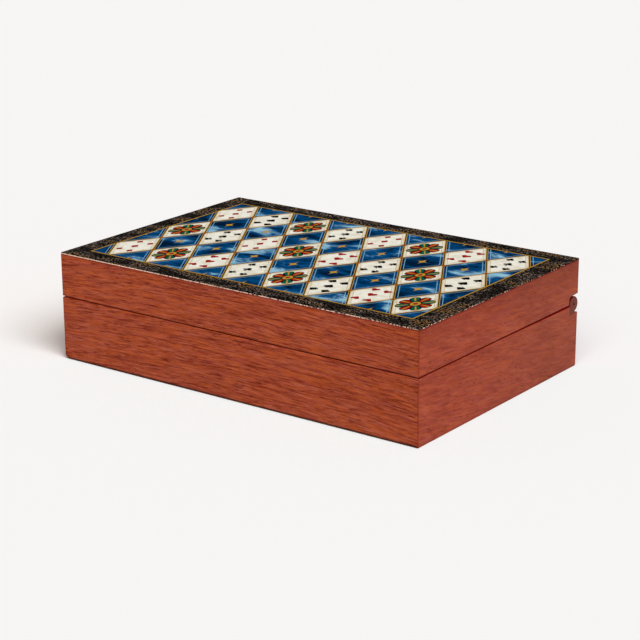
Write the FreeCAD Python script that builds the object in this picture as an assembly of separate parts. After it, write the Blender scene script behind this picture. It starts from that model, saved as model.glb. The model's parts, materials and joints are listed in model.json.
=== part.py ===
# Playing card box with a hinged lid.
#
# A low rectangular hardwood box, sawn into a base and a lid. Four mitred walls
# make each half, with a loose tongue glued across every mitre. The base holds a
# rebated bottom panel, two crossing dividers that make two deck wells and a long
# front tray, baize on each floor, and a baize sheet let in underneath, flush with
# the walls' feet. The lid holds a rebated top panel, a baize lining and a thin
# printed board that covers the top.
# The hinge is a wooden barrel along the back, cut into knuckles that belong in
# turn to the base and to the lid, on one steel pin. Each knuckle is a round
# barrel with a flat tongue glued into a slot in its back wall.
#
# Frame: origin at the centre of the underside, X along the length, +Y to the
# hinged back, +Z up. Lengths are in millimetres.

import FreeCAD, Part
import math
import os
from FreeCAD import Vector

# ---- driving dimensions ----------------------------------------------------
LENGTH = 210.0
DEPTH = 138.0
HEIGHT = 54.4
SEAM_HEIGHT = 32.1          # middle of the joint between base and lid
SEAM_GAP = 0.3
WALL = 11.0
ARRIS_RADIUS = 0.5          # upright corners
FOOT_RADII = {              # rounding along each side's bottom edge, eased by hand
    "front": 0.8,
    "back": 2.0,
    "left": 3.6,
    "right": 0.5,
}
RIM_RADIUS = 0.8            # rounding along both sides of the seam
INNER_RIM_RADIUS = 0.6

UNDER_BAIZE = 0.5           # thickness of the sheet let in under the bottom panel
PANEL = 5.0                 # bottom and top panels
REBATE = 5.0                # width of the ledge that holds a panel
PRINT = 0.6                 # printed board on the lid
PRINT_EDGE_RADIUS = 0.2
FLOOR_BAIZE = 1.0
LINING = 1.2                # lid lining
BAIZE_CLEARANCE = 0.25

DIVIDER = 5.0
DIVIDER_HEIGHT = 21.0
DIVIDER_EDGE_RADIUS = 1.2
HOUSING = 1.5               # how far a divider's end is let into a wall
DECK_WELL_DEPTH = 66.0      # front to back
FINGER_NOTCH_RADIUS = 11.0

KNUCKLES = 7                # odd, so that both end knuckles are the base's
BARREL_RADIUS = 3.9
KNUCKLE_GAP = 0.4           # between neighbouring knuckles
KNUCKLE_END_CHAMFER = 0.3
TONGUE_REACH = 5.0          # from the pin's axis to the tongue's far edge
POCKET_CLEARANCE = 0.75     # round the other half's knuckles
POCKET_CORNER_RADIUS = 2.2
LID_BACK_EDGE = 5.0         # lid's lower back edge above the pin's axis
BASE_BACK_EDGE = 4.7        # base's upper back edge below the pin's axis
PIN_RADIUS = 0.8
PIN_RECESS = 0.8            # pin's ends below the box's side faces
FIXED_BORE_CLEARANCE = 0.02
TURNING_BORE_CLEARANCE = 0.06

SPLINE = 2.0                # thickness of the loose tongue across a mitre
SPLINE_WIDTH = 7.0
SPLINE_CENTRE = 6.5         # from both outer faces
BASE_SPLINE_Z = (8.0, 23.0)
LID_SPLINE_Z = (40.5, 47.5)

# ---- derived places --------------------------------------------------------
BASE_RIM = SEAM_HEIGHT - SEAM_GAP / 2
LID_RIM = SEAM_HEIGHT + SEAM_GAP / 2
PRINT_UNDERSIDE = HEIGHT - PRINT
FLOOR = UNDER_BAIZE + PANEL
CEILING = PRINT_UNDERSIDE - PANEL
DIVIDER_TOP = FLOOR + DIVIDER_HEIGHT
INNER_X = LENGTH / 2 - WALL
INNER_Y = DEPTH / 2 - WALL
LONG_DIVIDER_BACK = INNER_Y - DECK_WELL_DEPTH
LONG_DIVIDER_FRONT = LONG_DIVIDER_BACK - DIVIDER
WELL_CENTRE_X = (INNER_X + DIVIDER / 2) / 2
HINGE_Y = DEPTH / 2 - BARREL_RADIUS
HINGE_Z = SEAM_HEIGHT
POCKET_HALF = BARREL_RADIUS + POCKET_CLEARANCE
KNUCKLE_PITCH = LENGTH / KNUCKLES
SPILL = 1.0                 # how far a cutter runs past what it cuts
SIDES = ("front", "back", "left", "right")


# ---- shape helpers ---------------------------------------------------------
def box(x_span, y_span, z_span):
    """Block between three pairs of coordinates."""
    corner = Vector(x_span[0], y_span[0], z_span[0])
    return Part.makeBox(
        x_span[1] - x_span[0], y_span[1] - y_span[0], z_span[1] - z_span[0], corner
    )


def rounded_face(corners, radii):
    """Flat face through the corners, each rounded to its radius; 0 keeps it sharp."""
    joins = []
    for i, corner in enumerate(corners):
        if radii[i] == 0:
            joins.append((corner, None, corner))
            continue
        to_last = (corners[i - 1] - corner).normalize()
        to_next = (corners[(i + 1) % len(corners)] - corner).normalize()
        half_angle = to_last.getAngle(to_next) / 2
        reach = radii[i] / math.tan(half_angle)
        inward = (to_last + to_next).normalize()
        middle = corner + inward * (radii[i] / math.sin(half_angle) - radii[i])
        joins.append((corner + to_last * reach, middle, corner + to_next * reach))
    edges = []
    for i, (start, middle, end) in enumerate(joins):
        if middle is not None:
            edges.append(Part.Arc(start, middle, end).toShape())
        following = joins[(i + 1) % len(joins)][0]
        edges.append(Part.LineSegment(end, following).toShape())
    return Part.Face(Part.Wire(edges))


def plan_prism(corners, radii, z_span):
    """Upright prism on an outline given as (x, y) pairs."""
    points = [Vector(x, y, z_span[0]) for x, y in corners]
    return rounded_face(points, radii).extrude(Vector(0, 0, z_span[1] - z_span[0]))


def along_x_prism(corners, radii, x_span):
    """Prism along X on an outline given as (y, z) pairs."""
    points = [Vector(x_span[0], y, z) for y, z in corners]
    return rounded_face(points, radii).extrude(Vector(x_span[1] - x_span[0], 0, 0))


def along_y_prism(corners, radii, y_span):
    """Prism along Y on an outline given as (x, z) pairs."""
    points = [Vector(x, y_span[0], z) for x, z in corners]
    return rounded_face(points, radii).extrude(Vector(0, y_span[1] - y_span[0], 0))


def rectangle(half_a, b_span):
    """Four (a, b) corners, symmetric about a = 0, starting low and to the left."""
    return [
        (-half_a, b_span[0]),
        (half_a, b_span[0]),
        (half_a, b_span[1]),
        (-half_a, b_span[1]),
    ]


def rod_x(radius, x_span, y=HINGE_Y, z=HINGE_Z):
    """Cylinder along X."""
    return Part.makeCylinder(
        radius, x_span[1] - x_span[0], Vector(x_span[0], y, z), Vector(1, 0, 0)
    )


def edges_where(shape, test):
    """The straight edges of a shape whose two ends both pass the test."""
    found = []
    for edge in shape.Edges:
        ends = [vertex.Point for vertex in edge.Vertexes]
        if len(ends) == 2 and all(test(point) for point in ends):
            found.append(edge)
    return found


def near(value, target):
    return abs(value - target) < 1e-4


# ---- the two halves of the case --------------------------------------------
def case_half(z_span, lower_radii, upper_radius):
    """Solid block of one half, rounded at its corners and edges; lower_radii go by side."""
    upright = plan_prism(
        rectangle(LENGTH / 2, (-DEPTH / 2, DEPTH / 2)), [ARRIS_RADIUS] * 4, z_span
    )
    side_radii = [lower_radii["left"], lower_radii["right"], upper_radius, upper_radius]
    across = along_y_prism(rectangle(LENGTH / 2, z_span), side_radii, (-DEPTH, DEPTH))
    end_radii = [lower_radii["front"], lower_radii["back"], upper_radius, upper_radius]
    lengthwise = along_x_prism(rectangle(DEPTH / 2, z_span), end_radii, (-LENGTH, LENGTH))
    return upright.common(across).common(lengthwise)


def inner_block(z_span, grow=0.0):
    """Block as wide and deep as the space inside the walls, or larger by grow."""
    x = INNER_X + grow
    y = INNER_Y + grow
    return box((-x, x), (-y, y), z_span)


def ease_inner_rim(ring, z):
    """Rounds the inner edges of a ring of walls at height z."""

    def on_inner_rim(point):
        inside = abs(point.x) < INNER_X + 1e-4 and abs(point.y) < INNER_Y + 1e-4
        return near(point.z, z) and inside

    return ring.makeFillet(INNER_RIM_RADIUS, edges_where(ring, on_inner_rim))


def base_ring():
    """The base's four walls in one piece, before the hinge and joints are cut."""
    ring = case_half((0, BASE_RIM), FOOT_RADII, RIM_RADIUS)
    ring = ring.cut(inner_block((-SPILL, BASE_RIM + SPILL)))
    ring = ease_inner_rim(ring, BASE_RIM)
    return ring.cut(inner_block((-SPILL, FLOOR), REBATE))


def lid_ring():
    """The lid's four walls in one piece, before the hinge and joints are cut."""
    rim_radii = {side: RIM_RADIUS for side in SIDES}
    ring = case_half((LID_RIM, PRINT_UNDERSIDE), rim_radii, 0)
    ring = ring.cut(inner_block((LID_RIM - SPILL, PRINT_UNDERSIDE + SPILL)))
    ring = ease_inner_rim(ring, LID_RIM)
    return ring.cut(inner_block((CEILING, PRINT_UNDERSIDE + SPILL), REBATE))


def mitred_wall(ring, side):
    """The part of a ring between the mitres of one side."""
    x, y = LENGTH / 2 + SPILL, DEPTH / 2 + SPILL
    run = WALL + 2 * SPILL
    wedges = {
        "front": [(-x, -y), (x, -y), (x - run, -y + run), (-x + run, -y + run)],
        "back": [(-x, y), (-x + run, y - run), (x - run, y - run), (x, y)],
        "left": [(-x, -y), (-x + run, -y + run), (-x + run, y - run), (-x, y)],
        "right": [(x, -y), (x, y), (x - run, y - run), (x - run, -y + run)],
    }
    wedge = plan_prism(wedges[side], [0] * 4, (-SPILL, HEIGHT + SPILL))
    return ring.common(wedge)


# ---- hinge -----------------------------------------------------------------
def knuckle_spans():
    """Whole pitch of each knuckle along X, from the left; even ones are the base's."""
    return [
        (-LENGTH / 2 + i * KNUCKLE_PITCH, -LENGTH / 2 + (i + 1) * KNUCKLE_PITCH)
        for i in range(KNUCKLES)
    ]


def trimmed(span):
    """A knuckle's own length: its pitch less the gap to each neighbour."""
    left = span[0] if near(span[0], -LENGTH / 2) else span[0] + KNUCKLE_GAP / 2
    right = span[1] if near(span[1], LENGTH / 2) else span[1] - KNUCKLE_GAP / 2
    return (left, right)


def tongue(span, upward):
    """Flat tongue under, or over, the front half of the barrel."""
    z_span = (HINGE_Z, HINGE_Z + TONGUE_REACH)
    if not upward:
        z_span = (HINGE_Z - TONGUE_REACH, HINGE_Z)
    return box(span, (HINGE_Y - BARREL_RADIUS, HINGE_Y), z_span)


def knuckle(span, upward, bore_clearance):
    """Round barrel with its tongue, bored for the pin."""
    own = trimmed(span)
    barrel = rod_x(BARREL_RADIUS, own)
    rims = [edge for edge in barrel.Edges if edge.isClosed()]
    barrel = barrel.makeChamfer(KNUCKLE_END_CHAMFER, rims)
    whole = barrel.fuse(tongue(own, upward)).removeSplitter()
    bore_span = (own[0] - SPILL, own[1] + SPILL)
    return whole.cut(rod_x(PIN_RADIUS + bore_clearance, bore_span))


def back_groove(edge_height, upward):
    """Cutter that opens the back over the barrel, from its middle to the back face."""
    sign = 1 if upward else -1
    outline = [
        (HINGE_Y, HINGE_Z - sign * SPILL),
        (DEPTH / 2 + SPILL, HINGE_Z - sign * SPILL),
        (DEPTH / 2 + SPILL, HINGE_Z + sign * edge_height),
        (DEPTH / 2, HINGE_Z + sign * edge_height),
        (HINGE_Y, HINGE_Z + sign * POCKET_HALF),
    ]
    x = LENGTH / 2 + SPILL
    return along_x_prism(outline, [0] * 5, (-x, x))


def pocket(span, upward):
    """Cutter that leaves room for one of the other half's knuckles and its gaps."""
    sign = 1 if upward else -1
    left = span[0] - (SPILL if near(span[0], -LENGTH / 2) else KNUCKLE_GAP / 2)
    right = span[1] + (SPILL if near(span[1], LENGTH / 2) else KNUCKLE_GAP / 2)
    outline = [
        (HINGE_Y - POCKET_HALF, HINGE_Z - sign * SPILL),
        (HINGE_Y + SPILL, HINGE_Z - sign * SPILL),
        (HINGE_Y + SPILL, HINGE_Z + sign * POCKET_HALF),
        (HINGE_Y - POCKET_HALF, HINGE_Z + sign * POCKET_HALF),
    ]
    return along_x_prism(outline, [0, 0, 0, POCKET_CORNER_RADIUS], (left, right))


def cut_for_hinge(ring, upward, edge_height):
    """Takes the groove, the other half's pockets and its own tongue slots out of a ring."""
    ring = ring.cut(back_groove(edge_height, upward))
    for i, span in enumerate(knuckle_spans()):
        is_lid_knuckle = i % 2 == 1
        if is_lid_knuckle == upward:
            ring = ring.cut(tongue(trimmed(span), upward))
        else:
            ring = ring.cut(pocket(span, upward))
    return ring


# ---- loose tongues across the mitres ---------------------------------------
def mitre_splines(z_span):
    """Four loose tongues, one standing across each mitre."""
    splines = []
    for x_sign in (-1, 1):
        for y_sign in (-1, 1):
            slab = Part.makeBox(
                SPLINE_WIDTH,
                SPLINE,
                z_span[1] - z_span[0],
                Vector(-SPLINE_WIDTH / 2, -SPLINE / 2, z_span[0]),
            )
            slab.rotate(Vector(0, 0, 0), Vector(0, 0, 1), -45 * x_sign * y_sign)
            x = x_sign * (LENGTH / 2 - SPLINE_CENTRE)
            y = y_sign * (DEPTH / 2 - SPLINE_CENTRE)
            slab.translate(Vector(x, y, 0))
            splines.append(slab)
    return splines


# ---- what is inside --------------------------------------------------------
def long_divider():
    """Divider along X, let into both side walls, with a finger notch per well."""
    x = INNER_X + HOUSING
    board = box((-x, x), (LONG_DIVIDER_FRONT, LONG_DIVIDER_BACK), (FLOOR, DIVIDER_TOP))
    for sign in (-1, 1):
        notch = Part.makeCylinder(
            FINGER_NOTCH_RADIUS,
            DIVIDER + 2 * SPILL,
            Vector(sign * WELL_CENTRE_X, LONG_DIVIDER_FRONT - SPILL, DIVIDER_TOP),
            Vector(0, 1, 0),
        )
        board = board.cut(notch)

    def on_top_edge(point):
        return near(point.z, DIVIDER_TOP) and abs(point.x) <= x + 1e-4

    top_edges = [
        edge
        for edge in edges_where(board, on_top_edge)
        if near(abs(edge.tangentAt(edge.FirstParameter).x), 1)
    ]
    return board.makeFillet(DIVIDER_EDGE_RADIUS, top_edges)


def cross_divider():
    """Divider along Y between the two deck wells, let in at both ends."""
    y_span = (LONG_DIVIDER_BACK - HOUSING, INNER_Y + HOUSING)
    board = box((-DIVIDER / 2, DIVIDER / 2), y_span, (FLOOR, DIVIDER_TOP))

    def on_long_top_edge(point):
        return near(point.z, DIVIDER_TOP)

    top_edges = [
        edge
        for edge in edges_where(board, on_long_top_edge)
        if near(abs(edge.tangentAt(edge.FirstParameter).y), 1)
    ]
    return board.makeFillet(DIVIDER_EDGE_RADIUS, top_edges)


def floor_baize(x_span, y_span):
    """Sheet on the floor of one compartment, a little clear of its sides."""
    c = BAIZE_CLEARANCE
    return box(
        (x_span[0] + c, x_span[1] - c),
        (y_span[0] + c, y_span[1] - c),
        (FLOOR, FLOOR + FLOOR_BAIZE),
    )


def printed_board():
    """Thin board over the whole top of the lid."""
    outline = rectangle(LENGTH / 2, (-DEPTH / 2, DEPTH / 2))
    board = plan_prism(outline, [ARRIS_RADIUS] * 4, (PRINT_UNDERSIDE, HEIGHT))
    top_edges = [
        edge
        for edge in board.Edges
        if all(near(vertex.Point.z, HEIGHT) for vertex in edge.Vertexes)
    ]
    return board.makeFillet(PRINT_EDGE_RADIUS, top_edges)


# ---- assembly --------------------------------------------------------------
def base_nodes():
    """Every piece of the base, by name."""
    spans = knuckle_spans()
    splines = mitre_splines(BASE_SPLINE_Z)
    lengthwise = long_divider()
    crosswise = cross_divider()
    ring = cut_for_hinge(base_ring(), False, BASE_BACK_EDGE)
    for let_in in splines + [lengthwise, crosswise]:
        ring = ring.cut(let_in)
    nodes = {f"base_{side}_wall": mitred_wall(ring, side) for side in SIDES}
    nodes["base_corner_splines"] = Part.makeCompound(splines)
    nodes["bottom_panel"] = inner_block((UNDER_BAIZE, FLOOR), REBATE)
    nodes["underside_baize"] = inner_block((0, UNDER_BAIZE), REBATE - BAIZE_CLEARANCE)
    nodes["long_divider"] = lengthwise.cut(crosswise)
    nodes["cross_divider"] = crosswise
    well_y = (LONG_DIVIDER_BACK, INNER_Y)
    nodes["left_well_baize"] = floor_baize((-INNER_X, -DIVIDER / 2), well_y)
    nodes["right_well_baize"] = floor_baize((DIVIDER / 2, INNER_X), well_y)
    nodes["front_tray_baize"] = floor_baize(
        (-INNER_X, INNER_X), (-INNER_Y, LONG_DIVIDER_FRONT)
    )
    for number, span in enumerate(spans[0::2], start=1):
        nodes[f"base_knuckle_{number}"] = knuckle(span, False, FIXED_BORE_CLEARANCE)
    pin_end = LENGTH / 2 - PIN_RECESS
    nodes["hinge_pin"] = rod_x(PIN_RADIUS, (-pin_end, pin_end))
    return nodes


def lid_nodes():
    """Every piece of the lid, by name."""
    spans = knuckle_spans()
    splines = mitre_splines(LID_SPLINE_Z)
    ring = cut_for_hinge(lid_ring(), True, LID_BACK_EDGE)
    for let_in in splines:
        ring = ring.cut(let_in)
    nodes = {f"lid_{side}_wall": mitred_wall(ring, side) for side in SIDES}
    nodes["lid_corner_splines"] = Part.makeCompound(splines)
    nodes["top_panel"] = inner_block((CEILING, PRINT_UNDERSIDE), REBATE)
    nodes["printed_board"] = printed_board()
    nodes["lid_lining"] = inner_block((CEILING - LINING, CEILING), -BAIZE_CLEARANCE)
    for number, span in enumerate(spans[1::2], start=1):
        nodes[f"lid_knuckle_{number}"] = knuckle(span, True, TURNING_BORE_CLEARANCE)
    return nodes


def main():
    os.makedirs("parts", exist_ok=True)
    nodes = {**base_nodes(), **lid_nodes()}
    for name, shape in nodes.items():
        valid = shape.isValid() and all(solid.isClosed() for solid in shape.Solids)
        print(f"{name}: {len(shape.Solids)} solids, {shape.Volume:.1f} mm3, valid {valid}")
        shape.exportStep(f"parts/{name}.step")


main()
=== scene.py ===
"""Looks of a playing card box: lacquered mahogany walls, a printed lid, a wooden barrel hinge and baize."""

import json
import math
from dataclasses import dataclass

import bmesh
import bpy
from bpy.props import FloatProperty, FloatVectorProperty, PointerProperty
from bpy.types import Operator, Panel, PropertyGroup
from mathutils import Matrix, Vector, noise


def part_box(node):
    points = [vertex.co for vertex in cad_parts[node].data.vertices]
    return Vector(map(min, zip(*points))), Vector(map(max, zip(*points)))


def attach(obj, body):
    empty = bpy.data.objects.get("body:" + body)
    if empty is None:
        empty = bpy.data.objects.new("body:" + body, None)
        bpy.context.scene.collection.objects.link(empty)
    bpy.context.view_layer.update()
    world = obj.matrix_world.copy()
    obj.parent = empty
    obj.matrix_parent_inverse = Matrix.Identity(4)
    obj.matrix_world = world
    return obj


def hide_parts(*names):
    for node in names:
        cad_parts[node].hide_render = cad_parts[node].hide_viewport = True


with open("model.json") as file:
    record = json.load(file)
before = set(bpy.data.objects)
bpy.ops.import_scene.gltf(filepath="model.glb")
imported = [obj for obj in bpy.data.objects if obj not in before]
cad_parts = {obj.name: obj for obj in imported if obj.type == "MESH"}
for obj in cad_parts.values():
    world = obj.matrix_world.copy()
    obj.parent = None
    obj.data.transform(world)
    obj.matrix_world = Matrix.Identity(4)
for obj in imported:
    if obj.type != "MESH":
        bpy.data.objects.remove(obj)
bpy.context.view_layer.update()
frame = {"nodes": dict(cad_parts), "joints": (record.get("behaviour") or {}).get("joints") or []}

bl_info = {
    "name": "Playing card box",
    "version": (1, 0, 0),
    "blender": (4, 5, 0),
    "location": "3D View > Sidebar > Card Box",
    "description": "Finishes a hinged playing card box: wood, printed lid, hinge and baize",
    "category": "Object",
}

MM = 0.001  # metres; sizes and places below are in mm, apart from the frame's and the settings'
LOW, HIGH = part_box("printed_board")
LENGTH = (HIGH.x - LOW.x) / MM
DEPTH = (HIGH.y - LOW.y) / MM
HEIGHT = HIGH.z / MM
HINGE_AXIS = Vector(frame["joints"][0]["pos_m"]) / MM
BARREL_RADIUS = (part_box("lid_knuckle_1")[1].y / MM) - HINGE_AXIS.y
JOINT_HEIGHT = (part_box("base_front_wall")[1].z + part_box("lid_front_wall")[0].z) / (2 * MM)
WOOD_TOP = LOW.z / MM


# ---- shader maths ------------------------------------------------------------
class Value:
    """A number in a shader. Arithmetic on it adds Math nodes."""

    def __init__(self, shader, socket):
        self.shader = shader
        self.socket = socket

    def math(self, operation, *others):
        values = dict(enumerate((self,) + others))
        return self.shader.node("ShaderNodeMath", {"operation": operation}, values)

    def __add__(self, other):
        return self.math("ADD", other)

    def __mul__(self, other):
        return self.math("MULTIPLY", other)

    def __sub__(self, other):
        return self.math("SUBTRACT", other)

    def __truediv__(self, other):
        return self.math("DIVIDE", other)

    def __mod__(self, other):
        return self.math("FLOORED_MODULO", other)

    def __abs__(self):
        return self.math("ABSOLUTE")

    def __rsub__(self, other):
        return self.shader.value(other).math("SUBTRACT", self)

    def __rtruediv__(self, other):
        return self.shader.value(other).math("DIVIDE", self)

    __radd__ = __add__
    __rmul__ = __mul__

    def __lt__(self, other):
        return self.math("LESS_THAN", other)

    def __gt__(self, other):
        return self.math("GREATER_THAN", other)

    def floor(self):
        return self.math("FLOOR")

    def least(self, other):
        return self.math("MINIMUM", other)

    def most(self, other):
        return self.math("MAXIMUM", other)

    def sine(self):
        return self.math("SINE")

    def angle_to(self, other):
        return self.math("ARCTAN2", other)

    def arctangent(self):
        return self.math("ARCTANGENT")

    def cosine(self):
        return self.math("COSINE")

    def root(self):
        return self.math("SQRT")

    def length_with(self, other):
        """Length of the hypotenuse over two sides."""
        return (self * self + other * other).root()

    def is_about(self, number):
        """1 where a whole number is that number, else 0."""
        return abs(self - number) < 0.5

    def inside(self, softness=0.12):
        """1 where a distance is below zero, with a soft edge."""
        return self.rise(softness, -softness)

    def rise(self, start, end):
        """0 before start, 1 after end and a smooth step between; start may be past end."""
        settings = {"interpolation_type": "SMOOTHSTEP", "clamp": True}
        if start < end:
            return self.shader.node("ShaderNodeMapRange", settings, {0: self, 1: start, 2: end})
        return 1.0 - self.shader.node("ShaderNodeMapRange", settings, {0: self, 1: end, 2: start})


class Nodes:
    """An emptied node tree and the ways to add to it."""

    def __init__(self, tree):
        self.tree = tree
        tree.nodes.clear()

    def node(self, kind, settings=None, inputs=None, out=0):
        """Adds a node: its settings first, then its sockets' values or links. Gives one output."""
        made = self.tree.nodes.new(kind)
        for name, setting in (settings or {}).items():
            setattr(made, name, setting)
        for name, given in (inputs or {}).items():
            socket = given.socket if isinstance(given, Value) else given
            if isinstance(socket, bpy.types.NodeSocket):
                self.tree.links.new(socket, made.inputs[name])
            else:
                made.inputs[name].default_value = socket
        return made if out is None else Value(self, made.outputs[out])

    def value(self, number):
        return Value(self, number)

    def point(self, x, y, z):
        return self.node("ShaderNodeCombineXYZ", {}, {0: x, 1: y, 2: z})

    def noise(self, x, y, z, detail=2.0, roughness=0.5, distortion=0.0):
        """Soft noise about 0.5 with features about one unit across. A bare number for z picks a pattern."""
        inputs = {
            "Vector": self.point(x, y, z),
            "Scale": 1.0,
            "Detail": detail,
            "Roughness": roughness,
            "Distortion": distortion,
        }
        return self.node("ShaderNodeTexNoise", {}, inputs)

    def mix(self, factor, first, second, blend="MIX"):
        """Colour mix; first and second are colours or colour sockets."""
        settings = {"data_type": "RGBA", "blend_type": blend, "clamp_factor": True}
        colours = {0: factor, 6: as_colour(first), 7: as_colour(second)}
        return self.node("ShaderNodeMix", settings, colours, out=2)


class Shader(Nodes):
    """A material around one Principled shader. x, y and z are a point's place in mm."""

    def __init__(self, name):
        self.material = bpy.data.materials.new(name)
        self.material.use_nodes = True
        super().__init__(self.material.node_tree)
        place = self.node("ShaderNodeTexCoord", out="Object").socket
        parts = self.node("ShaderNodeSeparateXYZ", {}, {0: place}, out=None)
        self.x, self.y, self.z = (Value(self, parts.outputs[i]) / MM for i in range(3))

    def finish(self, colour, roughness, height=None, height_mm=0.0, **fixed):
        """Adds the Principled shader and the output. fixed holds uniform numbers by socket name."""
        inputs = {"Base Color": as_colour(colour), "Roughness": roughness}
        if height is not None:
            bump = {"Height": height, "Distance": height_mm * MM, "Strength": 1.0}
            inputs["Normal"] = self.node("ShaderNodeBump", {}, bump)
        inputs.update({name.replace("_", " "): number for name, number in fixed.items()})
        surface = self.node("ShaderNodeBsdfPrincipled", {}, inputs)
        self.node("ShaderNodeOutputMaterial", {}, {"Surface": surface}, out=None)
        return self.material


def as_colour(given):
    """A colour as a socket's value; sockets pass through."""
    if isinstance(given, (Value, bpy.types.NodeSocket)):
        return given
    return tuple(given)[:3] + (1.0,)


def srgb(red, green, blue):
    """Linear colour from 8-bit display numbers."""

    def linear(level):
        level = level / 255
        return level / 12.92 if level <= 0.04045 else ((level + 0.055) / 1.055) ** 2.4

    return linear(red), linear(green), linear(blue)


def colour_property(name, description, default):
    """A colour that the user can change."""
    return FloatVectorProperty(
        name=name, description=description, default=default, size=3, min=0.0, max=1.0, subtype="COLOR"
    )


def placed(name, data):
    """A new object in the scene."""
    made = bpy.data.objects.new(name, data)
    bpy.context.scene.collection.objects.link(made)
    return made


def dress(node, material):
    """Gives a CAD node its material."""
    piece = frame["nodes"][node]
    piece.data.materials.clear()
    piece.data.materials.append(material)


# ---- settings ----------------------------------------------------------------
class WoodSettings(PropertyGroup):
    ground: colour_property("Ground", "Main colour of the long boards", srgb(157, 69, 43))
    # The side boards' own paler, pinker wood, with a painted sheen in it
    rose_and_sheen: colour_property("Rose", "Main colour of the side boards, paler and pinker", srgb(150, 65, 47))
    pale: colour_property("Pale figure", "Lighter, more orange bands", srgb(188, 106, 82))
    # Also darkens the glue lines, and paints shade towards the boards' tops and on the base
    dark: colour_property("Dark figure", "Darker streaks", srgb(98, 22, 0))
    plum: colour_property("Plum fleck", "Dark flecks and pores", srgb(88, 25, 7))
    amber: colour_property("Amber", "Orange patches", srgb(188, 86, 34))
    blush: colour_property("Blush", "Multiplies the colour where it turns rosy", (0.9, 0.8, 1.0))
    # Painted shade: the side boards duller towards their back ends
    back_shade: colour_property("Umber", "Duller brown of the side boards' far ends", srgb(104, 64, 47))
    # Painted shade inside the joint's gap and the hinge's pockets, and also the glue line under the printed
    # board
    shade: colour_property("Shade", "Colour inside the joint and the hinge", srgb(100, 2, 0))
    # Painted shade along the bottom edge where it turns under, and deeper shade in the hinge's pockets
    foot_shade: colour_property("Foot", "Colour of the bottom edge where it turns under", srgb(46, 22, 14))
    hinge: colour_property("Hinge", "Colour of the hinge's wood", srgb(107, 61, 51))
    tongue: colour_property("Loose tongue", "Colour of the tongues across the mitres", srgb(186, 142, 100))
    ply: colour_property("Panel", "Colour of the bottom and top panels", srgb(176, 124, 82))


class PrintSettings(PropertyGroup):
    night: colour_property("Night blue", "Darkest blue of the field", srgb(3, 26, 52))
    sky: colour_property("Sky blue", "Mid blue of the field", srgb(4, 72, 122))
    cloud: colour_property("Cloud", "Pale brushed cloud", srgb(156, 204, 224))
    ivory: colour_property("Ivory", "Pale lozenges", srgb(238, 234, 220))
    parchment: colour_property("Parchment", "Shading of the pale lozenges", srgb(196, 184, 152))
    stone: colour_property("Stone", "Dark ground of the border", srgb(9, 7, 5))
    speck: colour_property("Speck", "Pale specks in the border", srgb(172, 152, 140))
    sand: colour_property("Sand", "Sandy patches in the border", srgb(158, 120, 78))
    red: colour_property("Red", "Hearts, diamonds and petals", srgb(150, 26, 20))
    green: colour_property("Green", "Petals", srgb(14, 88, 66))
    gold: colour_property("Gold", "Lines and stars", srgb(186, 142, 54))
    black: colour_property("Black", "Spades, clubs and outlines", srgb(16, 12, 12))
    paper: colour_property("Paper", "Cut edge of the printed sheet", srgb(232, 200, 180))
    lozenge: FloatVectorProperty(
        name="Lozenge", description="Width and height of one lozenge",
        default=(0.02375, 0.03933), size=2, unit="LENGTH",
    )
    border: FloatProperty(
        name="Border", description="Width of the speckled border",
        default=0.010, unit="LENGTH",
    )


class ClothSettings(PropertyGroup):
    baize: colour_property("Baize", "Colour of the linings", (0.018, 0.075, 0.042))
    nap: colour_property("Nap", "Colour of the baize's raised fibres", (0.045, 0.135, 0.082))
    felt: colour_property("Felt", "Colour of the sheet under the box", (0.02, 0.018, 0.018))
    lint: colour_property("Lint", "Colour of the felt's raised fibres", (0.06, 0.055, 0.052))
    spacing: FloatProperty(
        name="Mesh spacing", description="Distance between a sheet's mesh lines",
        default=0.003, unit="LENGTH",
    )


class StageSettings(PropertyGroup):
    backdrop: colour_property("Backdrop", "Colour of the floor and background", srgb(248, 246, 245))
    # Painted tint that cancels the red bounce light beside the box's lit sides
    bounce_offset: colour_property("Cool paper", "Floor's colour beside the box's lit sides", srgb(235, 248, 248))
    # Painted warm bounce light in the shadow beside the box's shaded side
    painted_bounce: colour_property("Warm paper", "Floor's colour beside the box's shaded side", srgb(248, 229, 214))
    azimuth: FloatProperty(
        name="Azimuth", description="Camera's direction round the box, from the front",
        default=math.radians(36.728), subtype="ANGLE",
    )
    elevation: FloatProperty(
        name="Elevation", description="Camera's height as an angle",
        default=math.radians(17.515), subtype="ANGLE",
    )
    roll: FloatProperty(
        name="Roll", description="Camera's turn about its own axis",
        default=math.radians(-0.295), subtype="ANGLE",
    )
    distance: FloatProperty(
        name="Distance", description="Camera's distance from the box's base, in box lengths",
        default=4.4394,
    )
    aside: FloatProperty(
        name="Aside", description="Camera's shift to its right, in box lengths", default=0.004,
    )
    above: FloatProperty(
        name="Above", description="Camera's shift upwards, in box lengths", default=0.0975,
    )
    lens: FloatProperty(
        name="Lens", description="Focal length on a 36 mm sensor", default=106.6, subtype="DISTANCE_CAMERA",
    )


# ---- wood --------------------------------------------------------------------
@dataclass
class Board:
    """How one side's boards were cut and finished."""

    name: str
    along: str  # axis that the grain follows
    offset: float  # where in the log's figure the board lies
    contrast: float  # strength of the stripes
    rosy: float  # share of the paler, pinker, mottled wood, whose colour also holds a painted sheen
    pores: float
    falloff_shade: float  # how strongly painted shade darkens the board towards its top and dulls it towards the back
    seam: float  # strength of the painted shade in the joint's gap
    foot_shade: float  # strength of the painted shade along the bottom edge
    bow: float = 0.0  # curve of the grain, per mm
    lean: float = 0.0  # rise of the grain, per mm along the board
    fleck_lean: float = 0.0  # rise of the flecks, per mm along the board


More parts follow.
